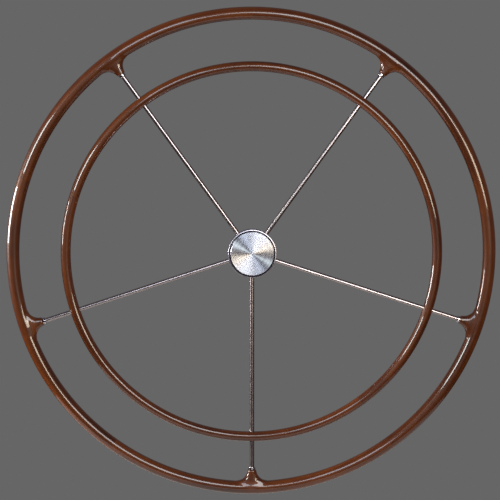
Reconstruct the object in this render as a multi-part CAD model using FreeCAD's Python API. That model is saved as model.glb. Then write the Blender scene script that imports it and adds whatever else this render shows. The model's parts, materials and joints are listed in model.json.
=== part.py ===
"""Ship steering wheel: varnished wood rim and grab ring on five stainless rod spokes.

Units are millimetres, +Z is up. The wheel turns about the Y axis and its front looks
along -Y. Rim, grab ring and spokes lie in one plane: the spokes run through the grab
ring into the rim's bosses. Every y in this file is measured from that plane, and the
finished pieces are moved forward together, so that the origin lies on the axis at the
bearing housing's back face, where the unit bolts to its pedestal. One STEP file is
written for each named piece.
"""
import FreeCAD, Part
import math
import os

from FreeCAD import Vector

# ---- driving dimensions: the wheel ------------------------------------------------
SPOKES = 5
FIRST_SPOKE = 270.0          # degrees from +X towards +Z: the first spoke points down
STEP = 360.0 / SPOKES

WHEEL_DIAMETER = 1220.0
RIM_SECTION = 32.0           # diameter of the rim's round section
RIM_RADIUS = WHEEL_DIAMETER / 2 - RIM_SECTION / 2

RING_SECTION = 25.0          # diameter of the grab ring's round section
RING_RADIUS = 463.5          # the grab ring's centreline
SPOKE_DIAMETER = 11.1125     # 7/16 in rod

FIT = 0.05                   # radial clearance of glued and screwed joints
PRESS_FIT = 0.02             # radial clearance of bushes and seals in the housing
CUT_EXTRA = 5.0              # how far a cutting tool runs past the face it opens
SAME = 0.01                  # two edges nearer than this are the same one

# ---- rim bosses -------------------------------------------------------------------
BOSS_TIP_RADIUS = 548.0      # where the wood of a boss ends
BOSS_TIP_WIDTH = 21.0
BOSS_TIP_DEPTH = 22.0
BOSS_ROOT_WIDTH = 120.0
BOSS_ROOT_RADIUS = 600.0     # the boss's root lies hidden inside the rim's round
BOSS_ROOT_DEPTH = 29.6
BOSS_FILLET = 31.0           # radius of the hollow on either side of a boss
BOSS_FILLET_RADIUS = 546.4   # where on the spoke that hollow has its centre
BOSS_ARC_END = 575.5         # past this the hollow runs out along the rim
BOSS_ROUNDNESS = 2.3         # superellipse exponent, 2 is an ellipse
BOSS_STATIONS = 12
SECTION_POINTS = 28

# ---- glued joints of the wood -----------------------------------------------------
RIM_DOWEL = (10.0, 50.0)     # diameter, length
RING_DOWEL = (8.0, 40.0)

# ---- spokes and their end fittings ------------------------------------------------
SPOKE_THREAD = 9.525         # 3/8 in
SPOKE_INNER_END = 36.0       # radii along the spoke
SPOKE_INNER_SHOULDER = 46.0
SPOKE_OUTER_SHOULDER = 556.0
SPOKE_OUTER_END = 571.0
FERRULE_DIAMETER = 17.0
FERRULE_SPIGOT = 14.0
FERRULE_START = 540.5
FERRULE_END = 556.0
FERRULE_ROUNDING = 2.4
INSERT_DIAMETER = 14.0
INSERT_START = 556.2
INSERT_END = 576.0
INSERT_FLOOR = 2.0

# ---- grab ring screws: M4 from behind, through ring and spoke ---------------------
RING_SCREW = 4.0
RING_SCREW_HEAD = 7.0
RING_SCREW_SEAT = 8.0        # y of the shoulder under the head, sunk in the wood
RING_SCREW_HEAD_TOP = 10.4
RING_SCREW_TIP = -4.0
RING_SCREW_HEX = 2.5
RING_SCREW_HEX_DEPTH = 1.4

# ---- hub --------------------------------------------------------------------------
HUB_DIAMETER = 120.0
CAP_SEAT = -20.9             # y of the face under the cap
CAP_SEAT_RADIUS = 50.0
GROOVE_FLOOR = -12.0         # y of the bottom of the gap between cap and bezel
HUB_BACK = 16.0
HUB_EDGE = 4.0
NUT_WELL_RADIUS = 27.0
NUT_WELL_FLOOR = 10.0
SLEEVE_RADIUS = 24.0
SLEEVE_BACK = 36.0
SLEEVE_BEVEL = 6.0
HUB_BORE = 25.4              # 1 in shaft

# ---- hub bezel: the ring round the cap, pressed on the hub's front ----------------
BEZEL_FRONT = -24.0
BEZEL_BACK = -9.0
BEZEL_INNER_RADIUS = 56.8
BEZEL_LIP = ((57.2, -24.0), (59.5, -23.6), (60.0, -23.0))   # radius and y along its front

# ---- hub cap ----------------------------------------------------------------------
CAP_RADIUS = 54.2
CAP_FRONT = -25.0
CAP_BACK = -21.0
CAP_CHAMFER = 0.8
SPIGOT_RADIUS = 26.9
SPIGOT_WALL = 5.0
SPIGOT_END = -12.6
ORING_SECTION = 2.0
ORING_Y = -16.8
ORING_OUTER = 26.95
ORING_SIDE_ROOM = 0.2

# ---- set screws: M5 from the back of the hub onto the spokes ----------------------
SET_SCREW = 5.0
SET_SCREW_RADIUS = 52.0
SET_SCREW_BACK = 14.5
SET_SCREW_HEX = 2.5
SET_SCREW_HEX_DEPTH = 3.0

# ---- shaft ------------------------------------------------------------------------
NUT_THREAD = 19.05           # 3/4 in
THREAD_FRONT = -4.5
COLLAR_RADIUS = 19.0
COLLAR_BACK = 40.0
JOURNAL_RADIUS = 15.0
JOURNAL_BACK = 102.0
TAIL_DIAMETER = 25.4
TAIL_BACK = 145.0
TAIL_KEYWAY = 25.0           # length of the keyway for the chain sprocket
CIRCLIP_GROOVE = (97.5, 99.1)
CIRCLIP_GROOVE_RADIUS = 13.8
SHAFT_CLEARANCE = 0.03
SHAFT_CHAMFER = 1.2
THREAD_RUN_OUT = 0.5         # the thread ends this far behind the nut well's floor

KEY_WIDTH = 6.35             # 1/4 in square key
KEY_LENGTH = 22.0
KEY_START = 12.0
KEY_IN_SHAFT = 3.4

NUT_ACROSS_FLATS = 28.575    # 1 1/8 in
NUT_HEIGHT = 10.7
NUT_CORNER_ANGLE = 30.0
WASHER_RADIUS = 19.0
WASHER_THICKNESS = 2.5
WASHER_CLEARANCE = 0.4

# ---- bearing unit behind the hub --------------------------------------------------
HOUSING_FRONT = 44.0
HOUSING_BACK = 95.0
HOUSING_RADIUS = 26.0
HOUSING_BORE_RADIUS = 19.0
FLANGE_RADIUS = 42.0
FLANGE_THICKNESS = 8.0
FLANGE_PCD = 67.0
FLANGE_HOLES = 4
FLANGE_HOLE = 8.5
FIRST_FLANGE_HOLE = 45.0     # degrees from +X
SEAL_POCKET_RADIUS = 21.0
SEAL = (45.0, 51.8)          # y of the front and the back
SEAL_CLEARANCE = 0.1
SEAL_LIP = 3.0               # how far the dished front stands out from the lip
SEAL_LIP_BEND = (1.5, 1.2)   # out from the lip, behind the front
SEAL_LIP_BACK = 2.0
SEAL_BACK_BEVEL = (2.5, 1.5)
FRONT_BUSH = (52.5, 70.5)
REAR_BUSH = (76.5, 94.5)
BUSH_INNER_RADIUS = 15.05
FRONT_THRUST = (40.2, 43.9)
REAR_THRUST = (95.1, 97.3)
THRUST_INNER_RADIUS = 15.4
FRONT_THRUST_RADIUS = 24.0
REAR_THRUST_RADIUS = 21.5
CIRCLIP = (97.65, 98.95)
CIRCLIP_RADII = (13.9, 18.0)
CIRCLIP_GAP = 9.0

AXIS = Vector(0, -1, 0)      # right-hand turns about it run from +X to +Z
RADIAL = Vector(1, 0, 0)
BACKWARD = Vector(0, 1, 0)


# ---- helpers ----------------------------------------------------------------------
def turned(shape, angle):
    """A copy of a shape that was made along +X, turned to stand at an angle."""
    copy = shape.copy()
    copy.rotate(Vector(0, 0, 0), AXIS, angle)
    return copy


def spoke_angles():
    return [FIRST_SPOKE + STEP * index for index in range(SPOKES)]


def disc(radius, front, back):
    """A plain cylinder about the wheel's axis, from y = front to y = back."""
    return Part.makeCylinder(radius, back - front, Vector(0, front, 0), BACKWARD)


def tube(outer, inner, front, back):
    return disc(outer, front, back).cut(disc(inner, front - CUT_EXTRA, back + CUT_EXTRA))


def rod(diameter, start, end):
    """A cylinder along the spoke that points to +X, from one radius to another."""
    return Part.makeCylinder(diameter / 2, end - start, Vector(start, 0, 0), RADIAL)


def turned_profile(points):
    """A solid of revolution about Y of a closed outline of (radius, y) points."""
    corners = [Vector(radius, y, 0) for radius, y in points]
    outline = Part.makePolygon(corners + corners[:1])
    return Part.Face(outline).revolve(Vector(0, 0, 0), BACKWARD, 360)


def hexagon(across_flats, front, back, centre=Vector(0, 0, 0)):
    """A hexagonal prism along Y."""
    reach = across_flats / math.sqrt(3)
    corners = []
    for index in range(6):
        angle = math.radians(60 * index)
        corners.append(centre + Vector(reach * math.cos(angle), front, reach * math.sin(angle)))
    return Part.Face(Part.makePolygon(corners + corners[:1])).extrude(Vector(0, back - front, 0))


def arc_bar(radius, section):
    """One fifth of a round bar bent to a circle, with its middle at +X."""
    circle = Part.makeCircle(section / 2, Vector(radius, 0, 0), Vector(0, 0, 1))
    start = turned(Part.Face(Part.Wire(circle)), -STEP / 2)
    return start.revolve(Vector(0, 0, 0), AXIS, STEP)


def dowel(radius, size, clearance):
    """A straight dowel across the glue joint that lies half a step past +X."""
    diameter, length = size
    start = Vector(radius, 0, -length / 2 - clearance)
    pin = Part.makeCylinder(diameter / 2 + clearance, length + 2 * clearance, start, Vector(0, 0, 1))
    return turned(pin, STEP / 2)


def eased(place, start, end, first, last):
    """A value that goes from first to last between two places, level at both."""
    share = min(max((place - start) / (end - start), 0.0), 1.0)
    return first + (last - first) * share * share * (3 - 2 * share)


def group(shapes):
    return Part.makeCompound(shapes)


# ---- rim --------------------------------------------------------------------------
def boss_half_width(radius):
    """Half the boss's width: a hollow arc from the tip, then a taper hidden in the rim."""
    if radius <= BOSS_ARC_END:
        rise = radius - BOSS_FILLET_RADIUS
        return BOSS_TIP_WIDTH / 2 + BOSS_FILLET - math.sqrt(BOSS_FILLET ** 2 - rise ** 2)
    start = boss_half_width(BOSS_ARC_END)
    share = (radius - BOSS_ARC_END) / (BOSS_ROOT_RADIUS - BOSS_ARC_END)
    return start + (BOSS_ROOT_WIDTH / 2 - start) * math.sqrt(share)


def boss_section(radius):
    """The boss's superellipse section in the plane across the spoke at a radius."""
    half_depth = eased(radius, BOSS_TIP_RADIUS, BOSS_ROOT_RADIUS, BOSS_TIP_DEPTH / 2, BOSS_ROOT_DEPTH / 2)
    half_width = boss_half_width(radius)
    points = []
    for index in range(SECTION_POINTS):
        angle = 2 * math.pi * index / SECTION_POINTS
        across = math.copysign(abs(math.cos(angle)) ** (2 / BOSS_ROUNDNESS), math.cos(angle))
        deep = math.copysign(abs(math.sin(angle)) ** (2 / BOSS_ROUNDNESS), math.sin(angle))
        points.append(Vector(radius, half_depth * deep, half_width * across))
    curve = Part.BSplineCurve()
    curve.interpolate(Points=points, PeriodicFlag=True)
    return Part.Wire(curve.toShape())


def boss():
    """The wooden boss that carries a spoke's end, hollowed on both sides."""
    wires = []
    for index in range(BOSS_STATIONS):
        share = index / (BOSS_STATIONS - 1)
        wires.append(boss_section(BOSS_TIP_RADIUS + share * (BOSS_ROOT_RADIUS - BOSS_TIP_RADIUS)))
    return Part.makeLoft(wires, True)


def rim_segment():
    """One of the five rim pieces: a fifth of the rim with its boss in the middle."""
    wood = arc_bar(RIM_RADIUS, RIM_SECTION).fuse(boss())
    wood = wood.cut(rod(FERRULE_SPIGOT + 2 * FIT, BOSS_TIP_RADIUS - CUT_EXTRA, INSERT_END + FIT))
    hole = dowel(RIM_RADIUS, RIM_DOWEL, FIT)
    return wood.cut(hole).cut(turned(hole, -STEP))


def boss_insert():
    """The threaded sleeve, bonded into a boss, that a spoke screws into."""
    bore = rod(SPOKE_THREAD + 2 * FIT, INSERT_START - CUT_EXTRA, INSERT_END - INSERT_FLOOR)
    return rod(INSERT_DIAMETER, INSERT_START, INSERT_END).cut(bore)


# ---- grab ring --------------------------------------------------------------------
def ring_segment():
    """One fifth of the grab ring, drilled for the spoke at its middle."""
    wood = arc_bar(RING_RADIUS, RING_SECTION)
    reach = RING_SECTION
    wood = wood.cut(rod(SPOKE_DIAMETER + 2 * FIT, RING_RADIUS - reach, RING_RADIUS + reach))
    wood = wood.cut(ring_screw_shank(RING_SCREW + 2 * FIT, 0))
    wood = wood.cut(ring_screw_head(RING_SCREW_HEAD + 2 * FIT, RING_SECTION))
    hole = dowel(RING_RADIUS, RING_DOWEL, FIT)
    return wood.cut(hole).cut(turned(hole, -STEP))


def ring_screw_shank(diameter, tip):
    start = Vector(RING_RADIUS, tip, 0)
    return Part.makeCylinder(diameter / 2, RING_SCREW_SEAT - tip, start, BACKWARD)


def ring_screw_head(diameter, back):
    start = Vector(RING_RADIUS, RING_SCREW_SEAT, 0)
    return Part.makeCylinder(diameter / 2, back - RING_SCREW_SEAT, start, BACKWARD)


def ring_screw():
    """The screw from behind that pins the grab ring to a spoke."""
    head = ring_screw_head(RING_SCREW_HEAD, RING_SCREW_HEAD_TOP)
    socket = hexagon(RING_SCREW_HEX, RING_SCREW_HEAD_TOP - RING_SCREW_HEX_DEPTH,
                     RING_SCREW_HEAD_TOP + CUT_EXTRA, Vector(RING_RADIUS, 0, 0))
    return ring_screw_shank(RING_SCREW, RING_SCREW_TIP).fuse(head).cut(socket)


# ---- spokes -----------------------------------------------------------------------
def spoke():
    """A polished rod, turned down and threaded at both ends."""
    shape = rod(SPOKE_DIAMETER, SPOKE_INNER_SHOULDER, SPOKE_OUTER_SHOULDER)
    shape = shape.fuse(rod(SPOKE_THREAD, SPOKE_INNER_END, SPOKE_INNER_SHOULDER))
    shape = shape.fuse(rod(SPOKE_THREAD, SPOKE_OUTER_SHOULDER, SPOKE_OUTER_END))
    return shape.cut(ring_screw_shank(RING_SCREW + 2 * FIT, -SPOKE_DIAMETER))


def ferrule():
    """The polished collar that closes a boss around its spoke."""
    collar = rod(FERRULE_DIAMETER, FERRULE_START, BOSS_TIP_RADIUS)
    inner_edge = [edge for edge in collar.Edges if abs(edge.CenterOfMass.x - FERRULE_START) < SAME]
    collar = collar.makeFillet(FERRULE_ROUNDING, inner_edge)
    collar = collar.fuse(rod(FERRULE_SPIGOT, BOSS_TIP_RADIUS, FERRULE_END))
    bore = rod(SPOKE_DIAMETER + 2 * FIT, FERRULE_START - CUT_EXTRA, FERRULE_END + CUT_EXTRA)
    return collar.cut(bore)


# ---- hub --------------------------------------------------------------------------
def hub_blank():
    """The turned outside of the hub: cap seat, nut well, bezel shoulder and rear sleeve."""
    outer = HUB_DIAMETER / 2
    register = BEZEL_INNER_RADIUS - FIT
    return turned_profile([
        (HUB_BORE / 2, NUT_WELL_FLOOR),
        (NUT_WELL_RADIUS, NUT_WELL_FLOOR),
        (NUT_WELL_RADIUS, CAP_SEAT),
        (CAP_SEAT_RADIUS, CAP_SEAT),
        (CAP_SEAT_RADIUS, GROOVE_FLOOR),
        (register, GROOVE_FLOOR),
        (register, BEZEL_BACK + FIT),
        (outer, BEZEL_BACK + FIT),
        (outer, HUB_BACK - HUB_EDGE),
        (outer - HUB_EDGE, HUB_BACK),
        (SLEEVE_RADIUS + SLEEVE_BEVEL, HUB_BACK),
        (SLEEVE_RADIUS, HUB_BACK + SLEEVE_BEVEL),
        (SLEEVE_RADIUS, SLEEVE_BACK),
        (HUB_BORE / 2, SLEEVE_BACK),
    ])


def hub_bezel():
    """The ring round the cap: a narrow lip, sloping back a little, with a bevelled edge."""
    return turned_profile([
        (BEZEL_INNER_RADIUS, BEZEL_BACK), (BEZEL_INNER_RADIUS, BEZEL_FRONT),
        *BEZEL_LIP, (HUB_DIAMETER / 2, BEZEL_BACK),
    ])


def key_block(clearance):
    """The square key between shaft and hub, grown by a clearance for its keyways."""
    width = KEY_WIDTH + 2 * clearance
    corner = Vector(-width / 2, KEY_START - clearance, HUB_BORE / 2 - KEY_IN_SHAFT - clearance)
    return Part.makeBox(width, KEY_LENGTH + 2 * clearance, width, corner)


def hub_body():
    """The stainless hub with its spoke sockets, set screw holes and keyway."""
    shape = hub_blank()
    outer = HUB_DIAMETER / 2 + CUT_EXTRA
    keyway = key_block(FIT).fuse(key_block(FIT).translated(Vector(0, CUT_EXTRA, 0)))
    shape = shape.cut(keyway)
    for angle in spoke_angles():
        socket = rod(SPOKE_DIAMETER + 2 * FIT, SPOKE_INNER_SHOULDER - FIT, outer)
        socket = socket.fuse(rod(SPOKE_THREAD + 2 * FIT, SPOKE_INNER_END - FIT, SPOKE_INNER_SHOULDER))
        start = Vector(SET_SCREW_RADIUS, 0, 0)
        hole = Part.makeCylinder(SET_SCREW / 2 + FIT, HUB_BACK + CUT_EXTRA, start, BACKWARD)
        shape = shape.cut(turned(socket.fuse(hole), angle))
    return shape


def set_screw():
    """The grub screw that locks one spoke in the hub."""
    front = SPOKE_DIAMETER / 2 + FIT
    start = Vector(SET_SCREW_RADIUS, front, 0)
    body = Part.makeCylinder(SET_SCREW / 2, SET_SCREW_BACK - front, start, BACKWARD)
    socket = hexagon(SET_SCREW_HEX, SET_SCREW_BACK - SET_SCREW_HEX_DEPTH, SET_SCREW_BACK + CUT_EXTRA,
                     Vector(SET_SCREW_RADIUS, 0, 0))
    return body.cut(socket)


def hub_cap():
    """The turned disc that covers the wheel nut, with a grooved spigot for its ring."""
    floor = ORING_OUTER - ORING_SECTION - FIT
    half = ORING_SECTION / 2 + ORING_SIDE_ROOM
    inner = SPIGOT_RADIUS - SPIGOT_WALL
    return turned_profile([
        (0, CAP_FRONT),
        (CAP_RADIUS - CAP_CHAMFER, CAP_FRONT),
        (CAP_RADIUS, CAP_FRONT + CAP_CHAMFER),
        (CAP_RADIUS, CAP_BACK),
        (SPIGOT_RADIUS, CAP_BACK),
        (SPIGOT_RADIUS, ORING_Y - half),
        (floor, ORING_Y - half),
        (floor, ORING_Y + half),
        (SPIGOT_RADIUS, ORING_Y + half),
        (SPIGOT_RADIUS, SPIGOT_END),
        (inner, SPIGOT_END),
        (inner, CAP_BACK),
        (0, CAP_BACK),
    ])


def cap_oring():
    """The rubber ring that holds the cap in the nut well."""
    section = ORING_SECTION / 2
    return Part.makeTorus(ORING_OUTER - section, section, Vector(0, ORING_Y, 0), BACKWARD)


# ---- shaft and its fastenings -----------------------------------------------------
def shaft():
    """The wheel shaft, from the nut thread to the keyed tail for the chain sprocket."""
    seat = HUB_BORE / 2 - SHAFT_CLEARANCE
    tail = TAIL_DIAMETER / 2
    thread = NUT_THREAD / 2
    groove_front, groove_back = CIRCLIP_GROOVE
    shape = turned_profile([
        (0, THREAD_FRONT),
        (thread - SHAFT_CHAMFER, THREAD_FRONT),
        (thread, THREAD_FRONT + SHAFT_CHAMFER),
        (thread, NUT_WELL_FLOOR + THREAD_RUN_OUT),
        (seat, NUT_WELL_FLOOR + THREAD_RUN_OUT),
        (seat, SLEEVE_BACK),
        (COLLAR_RADIUS, SLEEVE_BACK),
        (COLLAR_RADIUS, COLLAR_BACK),
        (JOURNAL_RADIUS, COLLAR_BACK),
        (JOURNAL_RADIUS, groove_front),
        (CIRCLIP_GROOVE_RADIUS, groove_front),
        (CIRCLIP_GROOVE_RADIUS, groove_back),
        (JOURNAL_RADIUS, groove_back),
        (JOURNAL_RADIUS, JOURNAL_BACK),
        (tail, JOURNAL_BACK),
        (tail, TAIL_BACK - SHAFT_CHAMFER),
        (tail - SHAFT_CHAMFER, TAIL_BACK),
        (0, TAIL_BACK),
    ])
    corner = Vector(-KEY_WIDTH / 2, TAIL_BACK - TAIL_KEYWAY, tail - KEY_IN_SHAFT)
    keyway = Part.makeBox(KEY_WIDTH, TAIL_KEYWAY + CUT_EXTRA, KEY_WIDTH, corner)
    return shape.cut(key_block(FIT)).cut(keyway)


def shaft_key():
    return key_block(0)


def nut_washer():
    back = NUT_WELL_FLOOR
    return tube(WASHER_RADIUS, NUT_THREAD / 2 + WASHER_CLEARANCE, back - WASHER_THICKNESS, back)


def wheel_nut():
    """The hexagon nut that clamps the hub on the shaft, its corners turned off."""
    back = NUT_WELL_FLOOR - WASHER_THICKNESS
    front = back - NUT_HEIGHT
    corner = NUT_ACROSS_FLATS / math.sqrt(3)
    flat = NUT_ACROSS_FLATS / 2
    drop = (corner - flat) * math.tan(math.radians(NUT_CORNER_ANGLE))
    envelope = turned_profile([
        (0, front), (flat, front), (corner, front + drop),
        (corner, back - drop), (flat, back), (0, back),
    ])
    nut = hexagon(NUT_ACROSS_FLATS, front, back).common(envelope)
    return nut.cut(disc(NUT_THREAD / 2 + FIT, front - CUT_EXTRA, back + CUT_EXTRA))


# ---- bearing unit -----------------------------------------------------------------
def bearing_housing():
    """The flanged barrel that bolts to the pedestal and carries the two bushes."""
    shape = disc(HOUSING_RADIUS, HOUSING_FRONT, HOUSING_BACK)
    shape = shape.fuse(disc(FLANGE_RADIUS, HOUSING_BACK - FLANGE_THICKNESS, HOUSING_BACK))
    shape = shape.cut(disc(HOUSING_BORE_RADIUS, HOUSING_FRONT - CUT_EXTRA, HOUSING_BACK + CUT_EXTRA))
    shape = shape.cut(disc(SEAL_POCKET_RADIUS, HOUSING_FRONT - CUT_EXTRA, SEAL[1] + FIT))
    start = Vector(FLANGE_PCD / 2, HOUSING_BACK - FLANGE_THICKNESS - CUT_EXTRA, 0)
    hole = Part.makeCylinder(FLANGE_HOLE / 2, FLANGE_THICKNESS + 2 * CUT_EXTRA, start, BACKWARD)
    for index in range(FLANGE_HOLES):
        shape = shape.cut(turned(hole, FIRST_FLANGE_HOLE + 360 / FLANGE_HOLES * index))
    return shape


def bush(place):
    return tube(HOUSING_BORE_RADIUS - PRESS_FIT, BUSH_INNER_RADIUS, *place)


def shaft_seal():
    """The lip seal at the front of the housing: a cased ring with a dished front."""
    front, back = SEAL
    outer = SEAL_POCKET_RADIUS - PRESS_FIT
    inner = BUSH_INNER_RADIUS + SEAL_CLEARANCE
    bevel_out, bevel_back = SEAL_BACK_BEVEL
    bend_out, bend_back = SEAL_LIP_BEND
    return turned_profile([
        (outer, front), (outer, back), (inner + bevel_out, back), (inner, back - bevel_back),
        (inner, front + SEAL_LIP_BACK), (inner + bend_out, front + bend_back), (inner + SEAL_LIP, front),
    ])


def shaft_circlip():
    """The spring clip in the shaft's groove that stops it being drawn forwards."""
    inner, outer = CIRCLIP_RADII
    front, back = CIRCLIP
    corner = Vector(-CIRCLIP_GAP / 2, front - CUT_EXTRA, -outer - CUT_EXTRA)
    gap = Part.makeBox(CIRCLIP_GAP, back - front + 2 * CUT_EXTRA, outer + CUT_EXTRA, corner)
    return tube(outer, inner, front, back).cut(gap)


# ---- the pieces, by name ----------------------------------------------------------
def repeated(name, shape):
    """One node for each spoke, with the same piece turned to that spoke."""
    return {f"{name}_{index + 1}": turned(shape, angle) for index, angle in enumerate(spoke_angles())}


def gathered(shape):
    """The same small piece at every spoke, as one group of separate solids."""
    return group([turned(shape, angle) for angle in spoke_angles()])


def pieces():
    nodes = {}
    nodes.update(repeated("rim_segment", rim_segment()))
    nodes.update(repeated("ring_segment", ring_segment()))
    nodes.update(repeated("spoke", spoke()))
    nodes.update(repeated("ferrule", ferrule()))
    nodes["rim_dowels"] = gathered(dowel(RIM_RADIUS, RIM_DOWEL, 0))
    nodes["ring_dowels"] = gathered(dowel(RING_RADIUS, RING_DOWEL, 0))
    nodes["boss_inserts"] = gathered(boss_insert())
    nodes["ring_screws"] = gathered(ring_screw())
    nodes["spoke_set_screws"] = gathered(set_screw())
    nodes["hub_body"] = hub_body()
    nodes["hub_bezel"] = hub_bezel()
    nodes["hub_cap"] = hub_cap()
    nodes["cap_oring"] = cap_oring()
    nodes["wheel_nut"] = wheel_nut()
    nodes["nut_washer"] = nut_washer()
    nodes["shaft"] = shaft()
    nodes["shaft_key"] = shaft_key()
    nodes["shaft_circlip"] = shaft_circlip()
    nodes["bearing_housing"] = bearing_housing()
    nodes["front_bush"] = bush(FRONT_BUSH)
    nodes["rear_bush"] = bush(REAR_BUSH)
    nodes["shaft_seal"] = shaft_seal()
    nodes["front_thrust_washer"] = tube(FRONT_THRUST_RADIUS, THRUST_INNER_RADIUS, *FRONT_THRUST)
    nodes["rear_thrust_washer"] = tube(REAR_THRUST_RADIUS, THRUST_INNER_RADIUS, *REAR_THRUST)
    return nodes


os.makedirs("parts", exist_ok=True)
for node, shape in pieces().items():
    shape.translate(Vector(0, -HOUSING_BACK, 0))
    shape.exportStep(f"parts/{node}.step")
    print(f"{node}: {len(shape.Solids)} solid(s), {shape.Volume / 1000:.2f} cm3, valid {shape.isValid()}")
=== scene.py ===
"""Ship steering wheel: the finished surfaces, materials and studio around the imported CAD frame.

Everything is in metres in the frame's own axes: +Z up, the wheel turns about Y and its front
looks along -Y. A spoke's own directions are out (away from the axis), along (round the wheel)
and +Y; every repeated piece is worked out once on the spoke that points to +X and then turned.
"""

import json
import logging
import math
from dataclasses import dataclass, field
from enum import Enum
from typing import Callable, Iterator, Sequence

import bpy
import numpy as np
from mathutils import Matrix, Vector


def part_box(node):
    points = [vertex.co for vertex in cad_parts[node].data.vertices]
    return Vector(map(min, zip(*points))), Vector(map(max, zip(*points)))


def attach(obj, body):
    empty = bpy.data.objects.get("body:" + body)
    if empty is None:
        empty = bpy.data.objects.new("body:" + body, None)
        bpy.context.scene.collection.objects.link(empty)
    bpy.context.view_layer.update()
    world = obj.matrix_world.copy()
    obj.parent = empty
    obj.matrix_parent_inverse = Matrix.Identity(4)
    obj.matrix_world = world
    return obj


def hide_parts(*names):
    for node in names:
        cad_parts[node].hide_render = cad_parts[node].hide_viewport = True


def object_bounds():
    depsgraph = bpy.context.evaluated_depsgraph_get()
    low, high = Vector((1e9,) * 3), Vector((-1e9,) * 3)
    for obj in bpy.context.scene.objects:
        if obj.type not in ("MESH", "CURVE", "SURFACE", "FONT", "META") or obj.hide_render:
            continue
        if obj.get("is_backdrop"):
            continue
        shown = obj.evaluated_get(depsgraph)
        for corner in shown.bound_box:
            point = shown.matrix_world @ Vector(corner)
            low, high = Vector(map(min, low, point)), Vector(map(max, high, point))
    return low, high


Socket, Finish, Piece = bpy.types.NodeSocket, bpy.types.Material, bpy.types.Object

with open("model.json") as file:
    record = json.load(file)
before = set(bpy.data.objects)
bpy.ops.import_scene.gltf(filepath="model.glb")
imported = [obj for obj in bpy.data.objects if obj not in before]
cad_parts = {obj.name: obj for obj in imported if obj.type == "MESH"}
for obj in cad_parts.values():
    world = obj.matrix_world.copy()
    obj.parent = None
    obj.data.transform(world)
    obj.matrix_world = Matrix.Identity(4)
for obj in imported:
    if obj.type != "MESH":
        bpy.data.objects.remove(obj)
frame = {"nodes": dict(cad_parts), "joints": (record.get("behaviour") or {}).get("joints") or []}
CAD_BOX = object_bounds()

LOG = logging.getLogger("steering_wheel")
MM = 0.001
SPOKES = 5
FIRST_SPOKE = math.radians(270.0)  # from +X towards +Z: the first spoke points down
SECTOR = 2 * math.pi / SPOKES
FACE_BREAK = math.radians(38.0)  # edges sharper than this stay crisp
LEAST_SLOPE = 0.05  # least squared slope for a step onto a surface


class Body(str, Enum):
    """The frame's bodies that new pieces ride on."""

    WHEEL = "wheel"
    CAP = "cap"


class Slot(str, Enum):
    """The record's material slots, named for the new pieces."""

    WOOD = "varnished_wood"
    POLISHED = "polished_steel"
    TURNED = "turned_steel"
    HUB = "hub_steel"


# ---- measures read from the frame ---------------------------------------------------
def span(node: str, axis: int) -> tuple[float, float]:
    """The lowest and highest coordinate of a CAD node along one axis.

    Args:
        node: name of the CAD node.
        axis: 0 for X, 1 for Y, 2 for Z.

    Returns:
        The two ends, in metres.
    """
    low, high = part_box(node)
    return low[axis], high[axis]


@dataclass(frozen=True)
class Datum:
    """The planes and radii that every new piece is hung on, taken from the frame."""

    plane: float = field(default_factory=lambda: frame["joints"][0]["pos_m"][1])
    rim_outer: float = field(default_factory=lambda: span("rim_segment_3", 2)[1])
    ring_outer: float = field(default_factory=lambda: span("ring_segment_3", 2)[1])
    cap_front: float = field(default_factory=lambda: span("hub_cap", 1)[0])
    bezel: tuple[float, float] = field(default_factory=lambda: span("hub_bezel", 1))


# ---- surfaces as whole arrays -------------------------------------------------------
def turned_to(points: np.ndarray, angle: float) -> np.ndarray:
    """Points made on the +X spoke, turned about the wheel's axis to another spoke.

    Formula: x' = x cos a - z sin a, z' = x sin a + z cos a, y unchanged.

    Args:
        points: array with x, y and z last.
        angle: the other spoke's angle, from +X towards +Z.

    Returns:
        The turned points.
    """
    cos, sin = math.cos(angle), math.sin(angle)
    out = points.copy()
    out[..., 0] = points[..., 0] * cos - points[..., 2] * sin
    out[..., 2] = points[..., 0] * sin + points[..., 2] * cos
    return out


def spoke_angle(index: int) -> float:
    """The angle of a spoke, counted from 0, from +X towards +Z."""
    return FIRST_SPOKE + SECTOR * index


def share_of(value: np.ndarray, start: float, end: float) -> np.ndarray:
    """0 at the start to 1 at the end, cut off outside: (value - start) / (end - start)."""
    return np.clip((value - start) / (end - start), 0.0, 1.0)


def smooth_min(a: np.ndarray, b: np.ndarray, reach: float) -> np.ndarray:
    """The lesser of two distances, blended by a parabola where they differ by less than reach."""
    share = np.clip(1 - np.abs(a - b) / reach, 0.0, 1.0)
    return np.minimum(a, b) - reach * share * share / 4


def drawn_onto(points: np.ndarray, distance: Callable[[np.ndarray], np.ndarray],
               rounds: int = 8, probe: float = 2e-5) -> np.ndarray:
    """Points moved onto the surface where a distance function is zero.

    Formula: Newton's step p - f(p) grad f / |grad f|^2, with the gradient from central
    differences, repeated a few times.

    Args:
        points: array (n, 3) near the surface.
        distance: function of an (n, 3) array.
        rounds: number of steps.
        probe: half the distance over which the gradient is measured.

    Returns:
        The moved points.
    """
    for _ in range(rounds):
        value = distance(points)
        steps = np.eye(3) * probe
        slope = np.stack([(distance(points + step) - distance(points - step)) / (2 * probe)
                          for step in steps], axis=-1)
        size = np.maximum((slope * slope).sum(axis=-1), LEAST_SLOPE)
        points = points - slope * (value / size)[:, None]
    return points


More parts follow.
